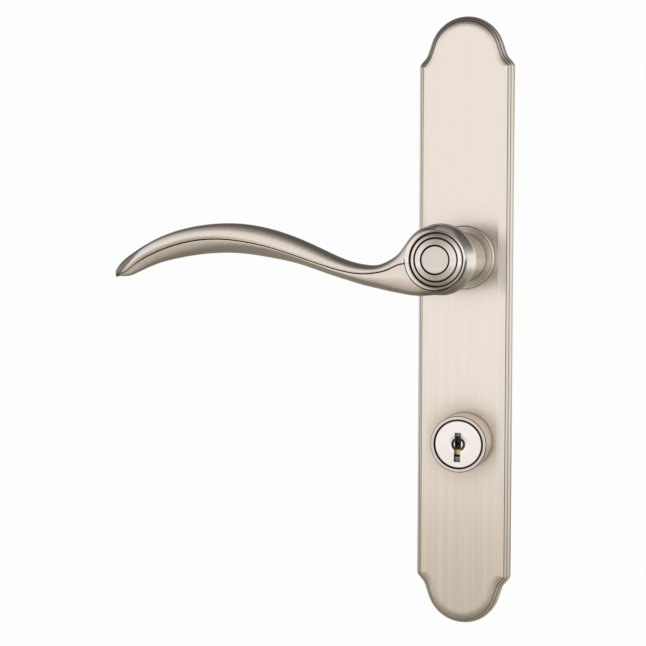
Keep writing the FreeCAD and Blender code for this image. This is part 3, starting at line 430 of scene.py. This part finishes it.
def hub_shades(tree):
    """Share of light on the hub: lines on its face, a shaded neck and a shaded cove."""
    radius = radius_from(tree, LEVER_AXIS)
    x, y, z = place_parts(tree)
    face = product(tree, groove_lines(tree, radius, x), rim_shades(tree, radius, x, z))
    face = blend(tree, spread(tree, y, *HUB_FACE), 1.0, face)
    rise = calc(tree, "ABSOLUTE", calc(tree, "DIVIDE", less(tree, z, LEVER_AXIS.z), radius))
    return product(tree, face, neck_shade(tree, radius, y, rise), cove_shade(tree, radius, x, rise))


def tip_shade(tree, facing):
    """Painted shade on a facet above a slanting line at the tip, on the front only."""
    x, _, z = place_parts(tree)
    inward = less(tree, x, TIP_X)
    above = less(tree, less(tree, z, TIP_Z), calc(tree, "MULTIPLY", inward, TIP_SLOPE))
    facet = product(tree, spread(tree, above, *TIP_BORDER), spread(tree, facing, *TIP_FRONT))
    return blend(tree, facet, 1.0, spread(tree, inward, *TIP_LIGHT))


def arm_shades(tree):
    """Share of light on the arm: bright under the crease, duller along both edges, a dark tip."""
    normal = node(tree, "SeparateXYZ", {0: node(tree, "TexCoord").outputs["Normal"]})
    # Painted light and shade by how the arm's surface slopes
    slope = ramp(tree, as_share(tree, normal.outputs[2]), SLOPE_LIGHT, "EASE")
    return product(tree, slope, tip_shade(tree, normal.outputs[1]))


def lever_metal(name):
    """Buffed metal with the shades of hub and arm."""
    colour = (0.72, 0.665, 0.618)
    material = metal(name, colour, 0.25, lever_grain, depth=0.000004, tint=0.03, scatter=0.04)
    shade_colour(material, hub_shades(material.node_tree))
    shade_colour(material, arm_shades(material.node_tree))
    return material


def brushing(tree):
    """Long vertical lines, fine above and stronger towards the foot of the plate."""
    x, y, z = place_parts(tree)
    vector = joined(tree, x, y, calc(tree, "MULTIPLY", z, DOWN_PLATE))
    strength = spread(tree, z, *BRUSH_STRENGTH)
    outputs = []
    for scale, detail in BRUSH_NOISES:
        lines = less(tree, noise(tree, vector, scale, detail), 0.5)
        outputs.append(calc(tree, "ADD", calc(tree, "MULTIPLY", lines, strength), 0.5))
    return outputs


def moulding_shades(tree):
    """Painted shade: fine dark lines between the bands of the plate's edge."""
    height = calc(tree, "MULTIPLY", place_parts(tree)[1], -1.0)
    return product(tree, *(near(tree, height, place, *MOULDING_LINE) for place in MOULDING_LINES))


def rose_shade(tree):
    """Soft shade that the hub throws on the plate, right of the rose."""
    x, _, z = place_parts(tree)
    away = calc(tree, "ABSOLUTE", less(tree, z, LEVER_AXIS.z - HUB_SHADE_DROP))
    share = product(tree, *(spread(tree, x, *step) for step in HUB_SHADE_STEPS))
    return blend(tree, spread(tree, away, *HUB_SHADE_LEVEL), 1.0, share)


def plug_shades(tree):
    """Painted shade: a dark ring and gap in the bright face of the plug, and a dim slot."""
    radius = radius_from(tree, KEY_AXIS)
    depth = less(tree, place_parts(tree)[1], KEY_FACE_Y)
    ring = near(tree, radius, KEY_RING_RADIUS, *KEY_RING_LINE)
    gap = near(tree, radius, KEY_GAP_RADIUS, *KEY_GAP_LINE)
    front = blend(tree, spread(tree, depth, *KEY_FRONT), 1.0, product(tree, ring, gap))
    inside = product(tree, spread(tree, depth, *SLOT_START), spread(tree, depth, *SLOT_END))
    return blend(tree, inside, front, SLOT_LIGHT)


def collar_shades(tree):
    """Painted shade: dark lines at the gap round the plug and at the collar's outer edge."""
    radius = radius_from(tree, KEY_AXIS)
    depth = less(tree, place_parts(tree)[1], KEY_FACE_Y)
    gap = near(tree, radius, KEY_GAP_RADIUS, *KEY_GAP_LINE)
    rim = near(tree, radius, COLLAR_RADIUS, *COLLAR_LINE)
    return blend(tree, spread(tree, depth, *KEY_FRONT), 1.0, product(tree, gap, rim))


def plate_metal(name):
    """Vertical brushing on the field, smoother metal on the moulded edge."""
    material = metal(name, (0.84, 0.77, 0.70), 0.23, brushing, depth=0.000008, tint=0.07, scatter=0.06)
    tree = material.node_tree
    shade_colour(material, moulding_shades(tree))
    shade_colour(material, rose_shade(tree))
    shade_colour(material, ramp(tree, open_share(tree, CONTACT_REACH), CONTACT_SHADE))
    shader = tree.nodes["Principled BSDF"]
    brushed = shader.inputs["Roughness"].links[0].from_socket
    facing = node(tree, "SeparateXYZ", {0: node(tree, "NewGeometry").outputs["True Normal"]}).outputs[1]
    field = spread(tree, calc(tree, "MULTIPLY", facing, -1.0), *FIELD_FACING)
    tree.links.new(blend(tree, field, MOULDING_ROUGHNESS, brushed), shader.inputs["Roughness"])
    tree.links.new(calc(tree, "MULTIPLY", field, FIELD_ANISOTROPY), shader.inputs["Anisotropic"])
    tree.links.new(joined(tree, 1.0, 0.0, 0.0), shader.inputs["Tangent"])
    return material


def plain_metal(name, colour, roughness, scale=900.0):
    """Even, lightly mottled metal, as plated, pressed or drawn parts have."""

    def grain(tree):
        place = node(tree, "TexCoord").outputs["Object"]
        return noise(tree, place, scale, 3.0), noise(tree, place, scale * 4.0, 2.0)

    return metal(name, colour, roughness, grain, tint=0.06, scatter=0.08)


def nylon_material(name):
    """Nylon: pale, a little translucent, with a fine speck."""
    material, tree, shader = new_material(name)
    place = node(tree, "TexCoord").outputs["Object"]
    speck = noise(tree, place, 1500.0, 3.0)
    tree.links.new(tinted(tree, (0.72, 0.70, 0.64), 0.04, speck), shader.inputs["Base Color"])
    tree.links.new(spread(tree, speck, 0.3, 0.7, 0.38, 0.5), shader.inputs["Roughness"])
    bump = node(tree, "Bump", {"Strength": 0.6, "Distance": 0.00001, "Height": speck})
    tree.links.new(bump.outputs[0], shader.inputs["Normal"])
    shader.inputs["Subsurface Weight"].default_value = 0.2
    shader.inputs["Subsurface Scale"].default_value = 0.001
    return material


def foam_material(name):
    """Closed-cell foam: dark grey with small pits."""
    material, tree, shader = new_material(name)
    place = node(tree, "TexCoord").outputs["Object"]
    cells = node(tree, "TexVoronoi", {"Vector": place, "Scale": 2600.0}).outputs["Distance"]
    tree.links.new(ramp(tree, cells, ((0.0, 0.012), (0.6, 0.05))), shader.inputs["Base Color"])
    bump = node(tree, "Bump", {"Strength": 0.8, "Distance": 0.00008, "Height": cells})
    tree.links.new(bump.outputs[0], shader.inputs["Normal"])
    shader.inputs["Roughness"].default_value = 0.85
    return material


def collar_metal(name):
    """Turned satin metal with painted shade lines at its edges."""
    grain = turned_grain(KEY_AXIS, 900.0)
    material = metal(name, (0.76, 0.69, 0.635), 0.24, grain, depth=0.000004, tint=0.03, scatter=0.04)
    shade_colour(material, collar_shades(material.node_tree))
    return material


def face_metal(name):
    """Bright, finely turned face of the plug."""
    grain = turned_grain(KEY_AXIS, 700.0)
    material = metal(name, (0.96, 0.92, 0.905), 0.2, grain, depth=0.000001, tint=0.015, scatter=0.03)
    shade_colour(material, plug_shades(material.node_tree))
    return material


def dress():
    """Gives every carried-over node its finish. What the list leaves out, the wafers, is brass."""
    zinc = plain_metal("zinc_plated_steel", (0.62, 0.64, 0.66), 0.34)
    drawn = plain_metal("bright_drawn_steel", (0.58, 0.57, 0.55), 0.25)
    spring = plain_metal("oiled_spring_steel", (0.30, 0.29, 0.28), 0.32)
    brass = plain_metal("stamped_brass", (0.78, 0.55, 0.24), 0.3, 1400.0)
    finishes = {
        "escutcheon": plate_metal("plate_satin_nickel"),
        "lever": lever_metal("lever_satin_nickel"),
        "cylinder_housing": collar_metal("collar_satin_nickel"),
        "key_plug": face_metal("face_nickel"),
        "lever_bushing": nylon_material("nylon"),
        "thrust_washer": nylon_material("washer_nylon"),
        "gasket": foam_material("closed_cell_foam"),
        "spring_cam": zinc,
        "cage_cover": zinc,
        "cage_screws": zinc,
        "mounting_post_upper": zinc,
        "mounting_post_lower": zinc,
        "tailpiece": zinc,
        "spindle": drawn,
        "spindle_pin": drawn,
        "tailpiece_pin": drawn,
        "return_spring": spring,
        "retaining_ring": spring,
        "cylinder_clip": spring,
        "plug_clip": spring,
        "wafer_springs": spring,
    }
    for name, piece in frame["nodes"].items():
        finish = finishes.get(name, brass)
        for slot in piece.material_slots:
            slot.material = finish


def camera():
    """Camera at the photograph's place."""
    yaw, pitch, roll = (math.radians(turn) for turn in (CAMERA_YAW, CAMERA_PITCH, CAMERA_ROLL))
    level = Vector((math.cos(yaw), math.sin(yaw), 0.0))
    ahead = Vector((-math.sin(yaw), math.cos(yaw), 0.0))
    forward = ahead * math.cos(pitch) - Vector((0.0, 0.0, math.sin(pitch)))
    rise = level.cross(forward)
    right = level * math.cos(roll) + rise * math.sin(roll)
    up = rise * math.cos(roll) - level * math.sin(roll)
    data = bpy.data.cameras.new("camera")
    data.sensor_fit = "HORIZONTAL"
    data.sensor_width = SENSOR
    data.lens = SENSOR * FOCAL_PIXELS / PHOTO_SIDE
    data.clip_start = 0.01
    eye = bpy.data.objects.new("camera", data)
    bpy.context.scene.collection.objects.link(eye)
    turn = Matrix((right, up, -forward)).transposed().to_4x4()
    eye.matrix_world = Matrix.Translation(CAMERA_PLACE) @ turn
    bpy.context.scene.camera = eye


def world():
    """White walls for the eye and for reflections, and a plain level for the rest."""
    made = bpy.data.worlds.new("studio")
    made.use_nodes = True
    tree = made.node_tree
    tint = blend_colour(tree, seen_directly(tree), AMBIENT, WHITE)
    background = tree.nodes["Background"]
    tree.links.new(tint, background.inputs[0])
    background.inputs[1].default_value = 1.0
    bpy.context.scene.world = made


def seen_directly(tree):
    """One for rays from the camera, and for those that metal or glass sends on."""
    path = node(tree, "LightPath")
    seen = calc(tree, "ADD", path.outputs["Is Camera Ray"], path.outputs["Is Glossy Ray"])
    return calc(tree, "ADD", seen, path.outputs["Is Transmission Ray"], clamp=True)


def staged(name, mesh, material):
    """Stage piece made of a mesh."""
    mesh.materials.append(material)
    piece = bpy.data.objects.new(name, mesh)
    bpy.context.scene.collection.objects.link(piece)
    return piece


def pale_material(name, share):
    """White to the eye and in reflections, by a share that leaves room for the object's shadow."""
    material, tree, shader = new_material(name)
    tree.nodes.remove(shader)
    matt = node(tree, "BsdfDiffuse", {"Color": MATT_WHITE}).outputs[0]
    glow = node(tree, "Emission", {"Color": WHITE, "Strength": 1.0}).outputs[0]
    amount = calc(tree, "MULTIPLY", seen_directly(tree), share)
    mixed = node(tree, "MixShader", {0: amount, 1: matt, 2: glow}).outputs[0]
    tree.links.new(mixed, tree.nodes["Material Output"].inputs[0])
    return material


def sheet_mesh(name, corners):
    """Mesh of one flat face."""
    mesh = bpy.data.meshes.new(name)
    mesh.from_pydata(corners, [], [(0, 1, 2, 3)])
    return mesh


def tent_material():
    """Studio as the metal sees it: bright in front, dark above and behind, with a rear window."""
    material, tree, shader = new_material("tent_cloth")
    tree.nodes.remove(shader)
    place = node(tree, "TexCoord").outputs["Object"]
    direction = node(tree, "VectorMath", {0: place}, operation="NORMALIZE").outputs[0]
    parts = node(tree, "SeparateXYZ", {0: direction})
    across, depth, rise = parts.outputs[0], parts.outputs[1], parts.outputs[2]
    height = as_share(tree, rise)
    front = ramp(tree, height, FRONT_LEVELS, "EASE")
    side = ramp(tree, as_share(tree, across), REAR_SIDES, "EASE")
    level = near(tree, height, 0.5, *HORIZON_BAND, 1.0, 0.0)
    side = blend_colour(tree, level, PLAIN, side)
    rear = shaded(tree, ramp(tree, height, REAR_LEVELS, "EASE"), side)
    window = spread(tree, depth, WINDOW_EDGE, WINDOW_CORE, 0.0, 1.0)
    rear = blend_colour(tree, window, rear, WHITE)
    both = blend_colour(tree, spread(tree, depth, -TENT_TURN, TENT_TURN, 0.0, 1.0), front, rear)
    glow = node(tree, "Emission", {"Color": both, "Strength": 1.0}).outputs[0]
    tree.links.new(glow, tree.nodes["Material Output"].inputs[0])
    return material


def tent():
    """Cloth tent round the part that only shows in its reflections."""
    shell = bmesh.new()
    bmesh.ops.create_uvsphere(shell, u_segments=64, v_segments=32, radius=1.0)
    bmesh.ops.scale(shell, vec=TENT_SIZE, verts=shell.verts)
    mesh = bpy.data.meshes.new("tent")
    shell.to_mesh(mesh)
    shell.free()
    piece = staged("tent", mesh, tent_material())
    piece.visible_camera = False
    piece.visible_diffuse = False
    piece.visible_transmission = False
    piece.visible_shadow = False


def studio():
    """Floor, backdrop, reflection tent and lamps."""
    low, back = FLOOR_Z, BACKDROP_Y
    floor = [(-STAGE_REACH, -STAGE_REACH, low), (STAGE_REACH, -STAGE_REACH, low)]
    floor += [(STAGE_REACH, STAGE_REACH, low), (-STAGE_REACH, STAGE_REACH, low)]
    staged("floor", sheet_mesh("floor", floor), pale_material("pale_floor", FLOOR_GLOW))
    wall = [(-BACKDROP_HALF, back, low), (BACKDROP_HALF, back, low)]
    wall += [(BACKDROP_HALF, back, BACKDROP_TOP), (-BACKDROP_HALF, back, BACKDROP_TOP)]
    staged("backdrop", sheet_mesh("backdrop", wall), pale_material("pale_backdrop", BACKDROP_GLOW))
    tent()
    lamp("lamp_left", (-0.9, -1.4, 0.9), size=1.0, power=12.0)
    lamp("lamp_right", (1.2, -0.9, 0.7), size=0.8, power=5.0)


def lamp(name, place, size, power):
    """Square soft lamp that looks at the part."""
    data = bpy.data.lights.new(name, "AREA")
    data.size = size
    data.energy = power
    made = bpy.data.objects.new(name, data)
    bpy.context.scene.collection.objects.link(made)
    made.location = place
    made.rotation_euler = (-Vector(place)).to_track_quat("-Z", "Y").to_euler()
    made.visible_glossy = False


camera()
world()
studio()
dress()
bpy.context.scene.view_settings.view_transform = "Standard"
